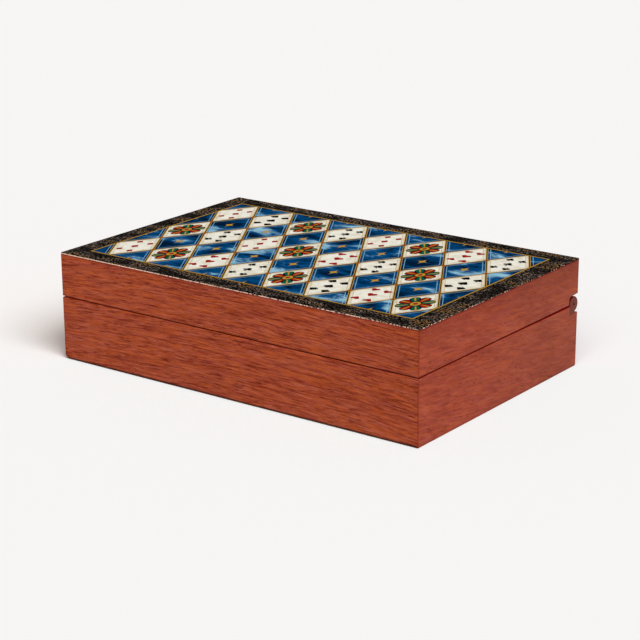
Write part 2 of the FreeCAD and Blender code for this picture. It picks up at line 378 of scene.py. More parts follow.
BOARDS = {
    "front": Board(
        "front_mahogany", "x", offset=3.1, contrast=1.0, rosy=0.0, pores=0.5, falloff_shade=0.0,
        seam=0.55, foot_shade=0.85, bow=-0.0003, lean=0.012,
    ),
    "back": Board(
        "back_mahogany", "x", offset=17.7, contrast=0.9, rosy=0.2, pores=0.5, falloff_shade=0.1,
        seam=0.3, foot_shade=0.7, bow=0.0003, lean=-0.01,
    ),
    "left": Board(
        "left_mahogany", "y", offset=29.3, contrast=0.4, rosy=0.8, pores=0.45, falloff_shade=0.2,
        seam=0.7, foot_shade=0.7, lean=0.06, fleck_lean=0.25,
    ),
    "right": Board(
        "right_mahogany", "y", offset=41.9, contrast=0.38, rosy=1.0, pores=0.6, falloff_shade=0.32,
        seam=1.0, foot_shade=0.15, lean=-0.12, fleck_lean=-0.26,
    ),
}


@dataclass
class Figure:
    """A noise in the wood: its size along the grain, across it and into the board, in mm."""

    along: float
    across: float
    into: float
    detail: float = 2.0
    roughness: float = 0.5
    distortion: float = 0.0
    follows: str = "grain"  # or "flecks" or "level"
    shifts: tuple = (0, 0)  # which way the board's offset moves it, along and into the board


FIGURES = {
    "ribbon": Figure(50, 4, 9, shifts=(1, 1)),
    "cloud": Figure(30, 22, 20, follows="level", shifts=(0, 1)),
    "streak": Figure(9, 0.85, 1.1, detail=3.0, roughness=0.65, shifts=(0, 1)),
    "line": Figure(36, 0.62, 0.9, shifts=(-1, 0)),
    "thread": Figure(8, 0.38, 0.4, roughness=0.6, shifts=(1, 0)),
    "hair": Figure(11, 0.22, 0.3, detail=1.0, shifts=(0, 1)),
    "mottle": Figure(15, 4, 9, detail=4.0, roughness=0.6, distortion=0.8, follows="flecks", shifts=(0, -1)),
    "fleck": Figure(4.5, 0.9, 1.2, follows="flecks", shifts=(0, -1)),
    "dash": Figure(3.4, 0.75, 0.9, follows="flecks", shifts=(-1, 0)),
    "pore": Figure(2.6, 0.22, 0.25, detail=1.0, follows="flecks", shifts=(0, 1)),
    "patch": Figure(26, 8, 9, shifts=(-1, 0)),
    "glow": Figure(12, 1.5, 2, detail=4.0, roughness=0.72, shifts=(-1, 1)),
}


@dataclass
class Layer:
    """A tint laid over the wood where a figure passes from the first of two levels to the second."""

    figure: str
    levels: tuple
    tint: str  # name of one of the wood settings
    plain: float = 0.0  # strength on any board
    striped: float = 0.0  # more strength, times the board's contrast
    rosy: float = 0.0  # more strength, times the board's share of rosy wood
    patches: tuple = ()  # levels of the patches that it keeps to
    blend: str = "MIX"


STRIPES = (
    Layer("ribbon", (0.4, 0.66), "pale", striped=0.13),
    Layer("cloud", (0.42, 0.68), "dark", plain=0.05, rosy=0.17),
    Layer("streak", (0.5, 0.75), "dark", striped=0.45),
    Layer("streak", (0.48, 0.32), "pale", striped=0.35),
    Layer("line", (0.58, 0.68), "dark", striped=0.5),
    Layer("thread", (0.53, 0.66), "dark", striped=0.8),
    Layer("thread", (0.46, 0.34), "pale", striped=0.4),
    Layer("hair", (0.6, 0.68), "plum", striped=0.8),
    Layer("mottle", (0.5, 0.66), "plum", rosy=0.16),
    Layer("mottle", (0.48, 0.34), "pale", rosy=0.15),
    Layer("fleck", (0.57, 0.68), "plum", plain=0.18, striped=0.42, patches=(0.42, 0.6)),
)
GLOWS = (
    Layer("glow", (0.48, 0.64), "amber", plain=0.4, rosy=-0.16),
    Layer("glow", (0.5, 0.34), "blush", plain=1.0, rosy=-0.4, blend="MULTIPLY"),
)
DRIFT = 4.0  # how far the grain wanders up and down
DRIFT_SIZE = (45, 16)  # along the board and up it
PORE_LEVELS = (0.62, 0.72)
DASH_LEVELS = (0.58, 0.74)
DASH_PATCHES = (0.35, 0.55)
WOOD_GLOSS = 0.03
LACQUER_ROUGHNESS = 0.44
PORE_DEPTH = 0.02

# Places in mm between which the wood darkens, and how strongly: glue lines along the mitres and under the
# printed board, and painted shade in the joint's gap, along the bottom edge, in the hinge's pockets, towards
# the top and the back, and on the base
GLUE_LINE, GLUE_SHADE = (0.75, 0.3), 0.45  # in from the corners, along the mitres
JOINT_LINE = (0.42, 0.2)  # up or down from the joint's middle
JOINT_SPREAD, JOINT_WIDENING = (-60.0, 10.0), 0.3  # towards the back left, where the painted shade in the gap is wider
JOINT_DEPTH = (1.3, 0.8)  # in from the faces
FOOT_LINE, FOOT_DEPTH = (1.5, 0.8), (2.6, 2.0)  # painted shade, up from the floor, and in from the faces
CROWN_LINE, CROWN_SHADE = (1.0, 0.4), 0.5  # down from the printed board
POCKET_LINE, POCKET_SHADE = (6.4, 5.8), 0.8  # out from the hinge's axis
POCKET_DEPTH = (0.05, 0.2)  # in from the left and right faces
TOP_SHADE = (39.0, 54.5)  # painted shade, up from the floor
BACK_SHADE, BACK_SHADE_SHARE = (-40.0, 50.0), 0.7  # painted shade, from front to back
BASE_SHADE = 0.04  # painted shade: how much darker the base's boards are than the lid's


class Grain:
    """The figures of one board, where the board lies in the box."""

    def __init__(self, shader, board):
        run, into = (shader.x, shader.y) if board.along == "x" else (shader.y, shader.x)
        drift = shader.noise(run / DRIFT_SIZE[0], shader.z / DRIFT_SIZE[1], board.offset)
        drift = (drift - 0.5) * DRIFT
        across = {
            "grain": shader.z - run * run * board.bow - run * board.lean + drift,
            "flecks": shader.z - run * board.fleck_lean + drift,
            "level": shader.z,
        }
        self.shader = shader
        self.board = board
        self.figures = {
            name: shader.noise(
                run / figure.along + board.offset * figure.shifts[0],
                across[figure.follows] / figure.across,
                into / figure.into + board.offset * figure.shifts[1],
                figure.detail,
                figure.roughness,
                figure.distortion,
            )
            for name, figure in FIGURES.items()
        }

    def tinted(self, colour, layers, settings):
        """Lays tints over a colour."""
        for layer in layers:
            strength = layer.plain + layer.striped * self.board.contrast + layer.rosy * self.board.rosy
            amount = self.figures[layer.figure].rise(*layer.levels) * strength
            if layer.patches:
                amount = amount * self.figures["patch"].rise(*layer.patches)
            colour = self.shader.mix(amount, colour, getattr(settings, layer.tint), layer.blend)
        return colour

    def pores(self):
        """Where the fine pores and, in patches, the short dashes lie."""
        dashes = self.figures["dash"].rise(*DASH_LEVELS) * self.figures["patch"].rise(*DASH_PATCHES)
        return self.figures["pore"].rise(*PORE_LEVELS) * 0.5 + dashes


def mahogany(board, settings):
    """Satin lacquered mahogany: stripes and flecks along the grain, pores, and a hue that glows and fades."""
    shader = Shader(board.name)
    grain = Grain(shader, board)
    # The side boards' colour holds a painted sheen
    ground = Vector(settings.ground).lerp(Vector(settings.rose_and_sheen), board.rosy)
    pores = grain.pores()
    colour = grain.tinted(ground, STRIPES, settings)
    colour = shader.mix(pores * board.pores, colour, settings.plum)
    colour = grain.tinted(colour, GLOWS, settings)
    # Painted shade towards the top, towards the back and on the base, then in the joint's gap, along the foot
    # and in the pockets
    colour = falloff_shaded(shader, settings, colour, board)
    colour = shaded(shader, settings, colour, board)
    roughness = LACQUER_ROUGHNESS + (grain.figures["streak"] - 0.5) * 0.2 + pores * 0.15
    return shader.finish(colour, roughness, 1.0 - pores, PORE_DEPTH, Specular_IOR_Level=WOOD_GLOSS)


def falloff_shaded(shader, settings, colour, board):
    """Painted shade: darkens the base's boards a little, darkens a board towards its top and dulls it towards
    its back end, each board by its own amount.
    """
    colour = shader.mix((shader.z < JOINT_HEIGHT) * BASE_SHADE, colour, settings.dark)
    colour = shader.mix(shader.z.rise(*TOP_SHADE) * board.falloff_shade, colour, settings.dark)
    return shader.mix(shader.y.rise(*BACK_SHADE) * board.falloff_shade * BACK_SHADE_SHARE, colour, settings.back_shade)


def shaded(shader, settings, colour, board):
    """Darkens the mitres' glue lines and the crown, the glue line under the printed board, and paints shade
    into the joint's gap, along the foot and in the hinge's pockets.
    """
    from_side, from_front = LENGTH / 2 - abs(shader.x), DEPTH / 2 - abs(shader.y)
    from_face = from_side.least(from_front)
    colour = shader.mix(from_side.most(from_front).rise(*GLUE_LINE) * GLUE_SHADE, colour, settings.dark)
    # Painted shade in the joint's gap, along the bottom edge and in the hinge's pockets; the crown is the
    # glue line under the printed board
    widening = (shader.y - shader.x * 0.5).rise(*JOINT_SPREAD) * JOINT_WIDENING
    gap_shade = (abs(shader.z - JOINT_HEIGHT) - widening).rise(*JOINT_LINE) * from_face.rise(*JOINT_DEPTH)
    foot_shade = shader.z.rise(*FOOT_LINE) * from_face.rise(*FOOT_DEPTH)
    crown = (WOOD_TOP - shader.z).rise(*CROWN_LINE)
    pocket = from_hinge(shader).rise(*POCKET_LINE) * from_side.rise(*POCKET_DEPTH)
    shade_and_glue = (gap_shade * board.seam).most(crown * CROWN_SHADE).most(pocket * POCKET_SHADE)
    colour = shader.mix(shade_and_glue, colour, settings.shade)
    return shader.mix(foot_shade * board.foot_shade, colour, settings.foot_shade)


def from_hinge(shader):
    """Distance from the hinge's axis."""
    return (shader.y - HINGE_AXIS.y).length_with(shader.z - HINGE_AXIS.z)


PLY = 1.25  # thickness of one ply
GLUE_BETWEEN_PLIES = (0.44, 0.5)  # from a ply's middle, in plies


def tongue_wood(settings):
    """Pale, unlacquered wood with fine, straight, upright grain."""
    shader = Shader("tongue_wood")
    grain = shader.noise(shader.z / 14, shader.x / 0.8, shader.y / 0.8, detail=3.0, roughness=0.6)
    colour = shader.mix(grain.rise(0.42, 0.7) * 0.5, settings.tongue, settings.ply)
    return shader.finish(colour, 0.62, grain, 0.03, Specular_IOR_Level=WOOD_GLOSS)


def plywood(settings):
    """Thin plies whose grain turns from ply to ply, with darker glue between them."""
    shader = Shader("panel_plywood")
    ply = (shader.z / PLY).floor()
    turned = (ply % 2.0).is_about(1.0)
    run = shader.x * (1.0 - turned) + shader.y * turned
    side = shader.y * (1.0 - turned) + shader.x * turned
    grain = shader.noise(run / 22, side / 1.1, ply * 3.7, detail=3.0, roughness=0.6)
    colour = shader.mix(grain.rise(0.4, 0.7) * 0.45, settings.ply, settings.ground)
    glue = abs(shader.z / PLY - ply - 0.5).rise(*GLUE_BETWEEN_PLIES)
    colour = shader.mix(glue * 0.7, colour, settings.dark)
    return shader.finish(colour, 0.6, grain, 0.03, Specular_IOR_Level=WOOD_GLOSS)


class CARDBOX_OT_walls(Operator):
    """Finish the mitred walls, their loose tongues, the dividers and the panels"""

    bl_idname = "cardbox.walls"
    bl_label = "Walls, dividers and panels"

    def execute(self, context):
        wood = context.scene.cardbox_wood
        boards = {side: mahogany(board, wood) for side, board in BOARDS.items()}
        for side, material in boards.items():
            for half in ("base", "lid"):
                dress(f"{half}_{side}_wall", material)
        dress("long_divider", boards["back"])
        dress("cross_divider", boards["left"])
        panels = plywood(wood)
        tongues = tongue_wood(wood)
        for node in ("bottom_panel", "top_panel"):
            dress(node, panels)
        for node in ("base_corner_splines", "lid_corner_splines"):
            dress(node, tongues)
        return {"FINISHED"}


# ---- hinge -------------------------------------------------------------------
RING_CENTRE = (-1.2, -0.8)  # of the growth rings, back and up from the hinge's axis
RING_TURN = 5.5  # radians per mm outwards
RING_WANDER = 5.0  # radians
BARREL_SKIN = (0.4, 0.2)  # depths below the barrel's surface between which its painted shade sets in
BARREL_END = (0.02, 0.12)  # in from a knuckle's outer end, where the painted shade starts
BARREL_SHADE_END = (2.4, 1.2)  # and where it fades
STEEL_DARK = (0.3, 0.3, 0.31)
STEEL_BRIGHT = (0.5, 0.49, 0.48)


class CARDBOX_OT_hinge(Operator):
    """Finish the hinge's knuckles and pin"""

    bl_idname = "cardbox.hinge"
    bl_label = "Barrel hinge"

    def knuckles(self, wood):
        """Dark wood with its growth rings showing on the knuckles' ends, and painted shade on the barrel's
        side inside the lid's pockets.
        """
        shader = Shader("hinge_wood")
        beside, above = shader.y - HINGE_AXIS.y, shader.z - HINGE_AXIS.z
        ring = (beside - RING_CENTRE[0]).length_with(above - RING_CENTRE[1])
        wander = shader.noise(shader.x / 12, shader.y / 3, shader.z / 3)
        rings = (ring * RING_TURN + wander * RING_WANDER).sine()
        grain = shader.noise(shader.x / 12, shader.y / 0.55, shader.z / 0.55, detail=3.0, roughness=0.6)
        colour = shader.mix(grain.rise(0.42, 0.62) * 0.6, wood.hinge, wood.plum)
        colour = shader.mix(grain.rise(0.48, 0.3) * 0.4, colour, wood.ground)
        colour = shader.mix(rings.rise(0.2, 0.95) * 0.3, colour, wood.plum)
        # Painted shade on the barrel inside the lid's pockets
        barrel_shade = self.barrel_shade(shader)
        colour = shader.mix(barrel_shade * 0.9, colour, wood.shade)
        colour = shader.mix(barrel_shade * 0.5, colour, wood.foot_shade)
        return shader.finish(colour, 0.45, rings, 0.02, Specular_IOR_Level=WOOD_GLOSS)

    def barrel_shade(self, shader):
        """1 on the barrel's round side near the box's ends, where it lies in the lid's pocket and shade is
        painted on it.
        """
        skin = from_hinge(shader).rise(*(BARREL_RADIUS - depth for depth in BARREL_SKIN))
        inwards = LENGTH / 2 - abs(shader.x)
        near_end = inwards.rise(*BARREL_END) * inwards.rise(*BARREL_SHADE_END)
        return skin * near_end * (shader.y < HINGE_AXIS.y + 1.0)

    def steel(self):
        """Drawn wire, with fine lines along it."""
        shader = Shader("pin_steel")
        drawn = shader.noise(shader.x / 6, shader.y / 0.05, shader.z / 0.05)
        colour = shader.mix(drawn, STEEL_DARK, STEEL_BRIGHT)
        return shader.finish(colour, 0.35 + drawn * 0.15, Metallic=1.0)

    def execute(self, context):
        knuckle_wood = self.knuckles(context.scene.cardbox_wood)
        for node in frame["nodes"]:
            if "knuckle" in node:
                dress(node, knuckle_wood)
        dress("hinge_pin", self.steel())
        return {"FINISHED"}


# ---- printed lid -------------------------------------------------------------
RULE_LINES = (1.2, 0.95, 0.25)  # black, gold and black line round the field, in from the border
LATTICE_LINES = (0.55, 0.22)  # half widths of the gold and black lines between lozenges
KNOT = (1.5, 1.2, 0.8)  # radii of the black, gold and red discs where the lines cross
INNER_LINE = (1.5, 1.75, 2.1)  # fine line in each lozenge: its start, middle and end
FINE = 0.08  # softness of the straight lines' edges
STAR = (3.2, 5.0)  # half width and half height of the stars
STAR_OUTLINE = 0.06  # as a share of the star's size
PIP_SHRINK = 1.15  # how many times smaller the middle pip is than its drawing
OUTER_PIPS = (4.0, 3.3, 7.6, 1.3)  # from which height, how far aside and up, times smaller
ROSETTE_STRETCH = (1.3, 1.9)  # across and up
PETAL_PAIRS = 4.0
PETALS_FROM, PETAL_LENGTH, PETAL_OUTLINE = 4.1, 1.6, 0.35
PETAL_VEIN = (2.2, 2.6)  # distances from the rosette's middle between which the veins start
EYE = (2.0, 1.65, 0.8)  # radii of the black, gold and red discs in the rosettes
CUT_EDGE = (0.16, 0.22)  # depths between which the sheet's cut edge starts to show


def heart(x, y):
    """Distance outside a heart 5.4 mm tall. x is measured outwards from its middle."""
    lobe = (x - 1.35).length_with(y - 1.0) - 1.5
    point = (x - 0.851 * (y + 2.9)) * 0.76
    return lobe.least(point.most(y - 0.36))


def stem(x, y):
    """Distance outside the flared stem of a spade or a club."""
    flare = 0.22 + (-1.3 - y).most(0.0) * 0.55
    return (x - flare).most(-3.0 - y).most(y + 0.4)


def spade(x, y):
    """Distance outside a spade, an upturned heart on a stem."""
    return heart(x, 0.35 - y).least(stem(x, y))


def club(x, y):
    """Distance outside a club: three discs, a small one between them, and a stem."""
    top = x.length_with(y - 1.55) - 1.3
    side = (x - 1.4).length_with(y + 0.35) - 1.3
    return top.least(side).least(stem(x, y)).least(x.length_with(y - 0.3) - 0.7)


def diamond(x, y):
    """Distance outside a diamond 6 mm tall."""
    return (x / 2.2 + abs(y) / 3.0 - 1.0) * 1.77


SUITS = (spade, heart, club, diamond)


def inked(shader, distance, colour, inks, softness=0.12):
    """Lays inks over a colour, each where the distance is below its own limit."""
    for limit, ink in inks:
        colour = shader.mix((distance - limit).inside(softness), colour, ink)
    return colour


class Lozenges:
    """Where a point lies in the lattice of lozenges: which one, and where in it."""

    def __init__(self, shader, width, height):
        across, up = shader.x / width, shader.y / height
        first, second = across + up, across - up
        cell_first, cell_second = first.floor(), second.floor()
        in_first = first - cell_first - 0.5
        in_second = second - cell_second - 0.5
        spacing = width * height / math.hypot(width, height)
        self.x = (in_first + in_second) * (width / 2)
        self.y = (in_first - in_second) * (height / 2)
        self.from_edge = (0.5 - abs(in_first).most(abs(in_second))) * spacing
        start, middle, end = INNER_LINE
        self.inner_line = self.from_edge.rise(start, middle) * self.from_edge.rise(end, middle)
        self.column = cell_first + cell_second + 1.0
        self.row = cell_first - cell_second
        self.pale = (self.column % 2.0).is_about(1.0)
        knot_first = first - (first + 0.5).floor()
        knot_second = second - (second + 0.5).floor()
        self.from_knot = ((knot_first + knot_second) * (width / 2)).length_with(
            (knot_first - knot_second) * (height / 2)
        )


class CARDBOX_OT_print(Operator):
    """Print the lid's board with lozenges, card suits and rosettes inside a speckled border"""

    bl_idname = "cardbox.print"
    bl_label = "Printed lid"

    def sky(self, shader, inks, cells):
        """Brushed blue with pale clouds, a fine line and a gold star in each blue lozenge."""
        x, y = shader.x, shader.y
        stroke = shader.noise(x / 7, y / 1.1, 8.0, detail=3.0, roughness=0.6)
        cloud = shader.noise(x / 24, y / 13, 4.0, detail=5.0, roughness=0.58, distortion=0.7)
        cloud = cloud + (stroke - 0.5) * 0.16
        colour = shader.mix(cloud.rise(0.36, 0.56), inks.night, inks.sky)
        colour = shader.mix(cloud.rise(0.54, 0.7) * 0.85, colour, inks.cloud)
        colour = shader.mix(cells.inner_line * 0.7, colour, inks.cloud)
        star = (abs(cells.x) / STAR[0]).root() + (abs(cells.y) / STAR[1]).root() - 1.0
        colour = shader.mix(star.inside(0.04), colour, inks.gold)
        edging = abs(star - STAR_OUTLINE).rise(STAR_OUTLINE, 0.02)
        return shader.mix(edging * 0.7, colour, inks.night)

    def parchment(self, shader, inks, cells):
        """Mottled ivory, shaded towards each lozenge's edges, with an engraved look."""
        x, y = shader.x, shader.y
        mottle = shader.noise(x / 5, y / 5, 1.0, detail=4.0, roughness=0.6)
        hatch = shader.noise((x + y) / 3.5, (x - y) / 0.45, 2.0)
        shade = mottle.rise(0.42, 0.66) * 0.45 + cells.from_edge.rise(2.6, 0.3) * 0.5
        colour = shader.mix(shade * (0.6 + 0.8 * hatch.rise(0.4, 0.6)), inks.ivory, inks.parchment)
        return shader.mix(cells.inner_line * 0.75, colour, inks.gold)

    def pips(self, shader, inks, cells, colour):
        """One pip in the middle and four round it, in the lozenge's own suit."""
        start, aside, above, shrink = OUTER_PIPS
        outer = abs(cells.y) > start
        times = PIP_SHRINK + outer * (shrink - PIP_SHRINK)
        x = abs(abs(cells.x) - outer * aside) * times
        y = (cells.y * (1.0 - outer) + (abs(cells.y) - above) * outer) * times
        suit = ((cells.column + 1.0) / 2.0 + cells.row) % 4.0
        marks = 0.0
        for number, shape in enumerate(SUITS):
            marks = shape(x, y).inside() * suit.is_about(number) + marks
        ink = shader.mix((suit % 2.0).is_about(1.0), inks.black, inks.red)
        return shader.mix(marks, colour, ink)

    def rosette(self, shader, inks, cells, colour):
        """Eight red and green petals with gold veins round a gold and black eye."""
        across, up = cells.x / ROSETTE_STRETCH[0], cells.y / ROSETTE_STRETCH[1]
        out = across.length_with(up)
        turn = (up.angle_to(across) * PETAL_PAIRS).cosine()
        petals = shader.mix(turn.rise(-0.08, 0.08), inks.green, inks.red)
        petals = shader.mix(abs(turn).rise(0.5, 0.2), petals, inks.black)
        veins = abs(turn).rise(0.965, 0.985) * out.rise(*PETAL_VEIN)
        petals = shader.mix(veins, petals, inks.gold)
        beyond = out - (PETALS_FROM + PETAL_LENGTH * abs(turn).root())
        colour = inked(shader, beyond, colour, ((PETAL_OUTLINE, inks.black), (0.0, petals)))
        return inked(shader, out, colour, zip(EYE, (inks.black, inks.gold, inks.red)))

    def lattice(self, shader, inks, cells, colour):
        """Dark lines edged with gold between the lozenges, and a red knot where they cross."""
        lines = zip(LATTICE_LINES, (inks.gold, inks.black))
        colour = inked(shader, cells.from_edge, colour, lines, FINE)
        return inked(shader, cells.from_knot, colour, zip(KNOT, (inks.black, inks.gold, inks.red)))

    def stone(self, shader, inks):
        """Nearly black ground full of pale, short specks, with sandy patches."""
        x, y = shader.x, shader.y
        specks = shader.noise((x + y) / 1.7, (x - y) / 1.3, 5.0, roughness=0.7)
        patch = shader.noise(x / 16, y / 9, 6.0, detail=3.0)
        amount = specks.rise(0.52, 0.6) * (0.12 + patch.rise(0.42, 0.62) * 0.88)
        pale = shader.mix(patch.rise(0.5, 0.62), inks.speck, inks.sand)
        return shader.mix(amount, inks.stone, pale)

    def cut_edge(self, shader, inks, colour):
        """Side of the board: paper along the front, dark ink further right and back."""
        torn = shader.noise(shader.x / 1.1, shader.y / 1.1, 9.0, detail=3.0)
        torn = torn - shader.y / 800 - shader.x / 1100
        side = shader.mix(torn.rise(0.38, 0.68), inks.black, inks.paper)
        return shader.mix((HEIGHT - shader.z).rise(*CUT_EDGE), colour, side)

    def field(self, shader, inks):
        """Ivory lozenges with pips or rosettes between blue ones, inside the lattice."""
        cells = Lozenges(shader, *(size / MM for size in inks.lozenge))
        ivory = self.parchment(shader, inks, cells)
        ornate = ((cells.column + 1.0) / 2.0 + cells.row / 2.0) % 3.0
        with_pips = self.pips(shader, inks, cells, ivory)
        with_rosette = self.rosette(shader, inks, cells, ivory)
        pale = shader.mix(ornate.is_about(0.0), with_pips, with_rosette)
        colour = shader.mix(cells.pale, self.sky(shader, inks, cells), pale)
        return self.lattice(shader, inks, cells, colour)

    def framed(self, shader, inks, colour):
        """The speckled border and the lines along its inner edge."""
        border = inks.border / MM
        inner = (LENGTH / 2 - border - abs(shader.x)).least(DEPTH / 2 - border - abs(shader.y))
        lines = zip(RULE_LINES, (inks.black, inks.gold, inks.black))
        colour = inked(shader, inner, colour, lines, FINE)
        return shader.mix(inner.inside(FINE), colour, self.stone(shader, inks))

    def execute(self, context):
        inks = context.scene.cardbox_print
        shader = Shader("printed_top")
        colour = self.framed(shader, inks, self.field(shader, inks))
        grit = shader.noise(shader.x / 0.35, shader.y / 0.35, 3.0)
        colour = shader.mix(grit.rise(0.5, 0.72) * 0.22, colour, inks.stone)
        colour = self.cut_edge(shader, inks, colour)
        material = shader.finish(colour, 0.36 + grit * 0.12, grit, 0.008, Specular_IOR_Level=0.0)
        dress("printed_board", material)
        return {"FINISHED"}


# ---- cloth -------------------------------------------------------------------
EDGE_STEPS = (0.0, 0.15, 0.4, 0.8, 1.5)  # distances in from a sheet's edge
EDGE_DROP = 0.35  # how far a sheet thins at its cut edge, as a share of its thickness
LIFT, LIFT_SIZE = 0.14, 17.0  # how far the cloth rises and dips, as a share, and over what distance
RAGGED, RAGGED_SIZE = 0.12, 4.0  # how far the cut edge wanders inwards, and over what distance


@dataclass
class Sheet:
    """A thin sheet of cloth glued to a flat surface inside the space of its CAD node."""

    name: str
    node: str
    body: str
    slot: str
    rests_on: str
    faces_up: bool = True


SHEETS = (
    Sheet("left_well_cloth", "left_well_baize", "base", "baize", "bottom_panel"),
    Sheet("right_well_cloth", "right_well_baize", "base", "baize", "bottom_panel"),
    Sheet("front_tray_cloth", "front_tray_baize", "base", "baize", "bottom_panel"),
    Sheet("lid_lining_cloth", "lid_lining", "lid", "baize", "top_panel", faces_up=False),
    Sheet("underside_felt", "underside_baize", "base", "under_felt", "bottom_panel", faces_up=False),
)


def mesh_lines(low, high, spacing):
    """Places of the mesh lines from low to high in metres: close at both ends, then evenly spaced."""
    edge = [step * MM for step in EDGE_STEPS]
    start, end = low + edge[-1], high - edge[-1]
    count = max(1, round((end - start) / spacing))
    middle = [start + (end - start) * i / count for i in range(1, count)]
    return [low + step for step in edge] + middle + [high - step for step in reversed(edge)]


def outline(grid):
    """The corners round a grid, in order."""
    right, left = [row[-1] for row in grid[1:]], [row[0] for row in grid[-2:0:-1]]
    return grid[0] + right + grid[-1][-2::-1] + left


class SheetShape:
    """The closed shape of one sheet, inside the space of its CAD node, from low to high in metres."""

    def __init__(self, sheet, low, high):
        self.sheet = sheet
        self.low = low
        self.high = high
        self.shape = bmesh.new()

    def from_edge(self, x, y):
        """Distance in mm from the sheet's nearest edge."""
        low, high = self.low, self.high
        return min(x - low.x, high.x - x, y - low.y, high.y - y) / MM

    def cut_unevenly(self, x, y):
        """Moves a point of the cut edge inwards a little."""
        low, high = self.low, self.high
        wander = noise.noise(Vector((x, y, low.z)) / (RAGGED_SIZE * MM))
        inward = RAGGED * MM * (0.5 + 0.5 * wander)
        return min(max(x, low.x + inward), high.x - inward), min(max(y, low.y + inward), high.y - inward)

    def dip(self, x, y):
        """How deep the shown face lies: a gentle wave, and rounding at the cut edge."""
        rounding = max(0.0, 1.0 - self.from_edge(x, y) / EDGE_STEPS[-1]) ** 3
        wave = 0.5 + 0.5 * noise.noise(Vector((x, y, self.high.z)) / (LIFT_SIZE * MM))
        return (self.high.z - self.low.z) * (EDGE_DROP * rounding + LIFT * wave)

    def corner(self, x, y, shown):
        """Adds a corner of the shown face or of the glued one."""
        on_edge = self.from_edge(x, y) < EDGE_STEPS[1] / 2
        place = self.cut_unevenly(x, y) if on_edge else (x, y)
        dip = self.dip(x, y) if shown else 0.0
        top = shown == self.sheet.faces_up
        height = self.high.z - dip if top else self.low.z + dip
        return self.shape.verts.new((*place, height))

    def fill(self, grid, shown):
        """Fills a grid of corners with faces."""
        for lower, upper in zip(grid, grid[1:]):
            for i in range(len(lower) - 1):
                face = self.shape.faces.new((lower[i], lower[i + 1], upper[i + 1], upper[i]))
                face.smooth = shown

    def mesh(self, spacing):
        """The finished mesh, with its lines about this far apart."""
        columns = mesh_lines(self.low.x, self.high.x, spacing)
        rows = mesh_lines(self.low.y, self.high.y, spacing)
        grids = [[[self.corner(x, y, shown) for x in columns] for y in rows] for shown in (False, True)]
        for grid, shown in zip(grids, (False, True)):
            self.fill(grid, shown)
        lower, upper = (outline(grid) for grid in grids)
        for i in range(len(lower)):
            self.shape.faces.new((lower[i - 1], lower[i], upper[i], upper[i - 1]))
        bmesh.ops.recalc_face_normals(self.shape, faces=self.shape.faces)
        mesh = bpy.data.meshes.new(self.sheet.name)
        self.shape.to_mesh(mesh)
        self.shape.free()
        return mesh


def cloth_material(name, colour, fibre):
    """Short-napped woollen cloth with a faint pile."""
    shader = Shader(name)
    x, y, z = shader.x, shader.y, shader.z
    nap = shader.noise(x / 0.5, y / 0.5, z / 0.5, detail=3.0, roughness=0.7)
    clump = shader.noise(x / 2.2, y / 2.2, z / 2.2, detail=3.0, roughness=0.6)
    rising = shader.noise((x + y) / 4 + clump, (x - y) / 0.5, z, roughness=0.6)
    falling = shader.noise((x - y) / 4 - clump, (x + y) / 0.5, z + 5.0, roughness=0.6)
    hairs = rising.rise(0.54, 0.66).most(falling.rise(0.54, 0.66))
    lie = shader.noise(x / 26, y / 26, z / 26)
    tint = shader.mix(clump.rise(0.6, 0.36) * 0.4, colour, (0.0, 0.0, 0.0))
    tint = shader.mix(nap.rise(0.42, 0.66) * 0.4 + hairs * 0.45, tint, fibre)
    tint = shader.mix(lie.rise(0.45, 0.7) * 0.25, tint, fibre)
    height = nap * 0.6 + clump * 0.6 + hairs * 0.4
    sheen = {"Specular_IOR_Level": 0.1, "Sheen_Weight": 0.25, "Sheen_Roughness": 0.5}
    return shader.finish(tint, 0.94, height, 0.12, **sheen)


class CARDBOX_OT_baize(Operator):
    """Lay the baize in the wells, the tray and the lid, and the felt under the box"""

    bl_idname = "cardbox.baize"
    bl_label = "Baize and felt"

    def execute(self, context):
        cloth = context.scene.cardbox_cloth
        materials = {
            "baize": cloth_material("green_baize", cloth.baize, cloth.nap),
            "under_felt": cloth_material("dark_felt", cloth.felt, cloth.lint),
        }
        for sheet in SHEETS:
            low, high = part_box(sheet.node)
            piece = placed(sheet.name, SheetShape(sheet, low, high).mesh(cloth.spacing))
            piece.data.materials.append(materials[sheet.slot])
            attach(piece, sheet.body)
            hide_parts(sheet.node)
        return {"FINISHED"}


# ---- stage -------------------------------------------------------------------
FLOOR_RADIUS = 30.0  # metres
SUNS = (
    # name, direction it comes from, strength, angular size in degrees
    ("key_light", (0.9, -0.38, 1.02), 2.5, 36),
    ("front_light", (0.38, -0.74, 0.75), 1.22, 45),
)
WORLD_STRENGTH = 0.16
RIGHT_COOLING, FRONT_COOLING, LEFT_WARMING = 1.8, 1.65, 2.0  # floor's painted tint, per share of hidden sky: cooler to cancel the red bounce light from the lit sides, and warm bounce light painted into the shaded side's shadow
WARM_START = (-85.0, -45.0)  # places between which the painted warm bounce light sets in, front to back
NEAREST = 0.5  # least distance in mm from the box at which the hidden sky is worked out
WHITE = (1.0, 1.0, 1.0, 1.0)


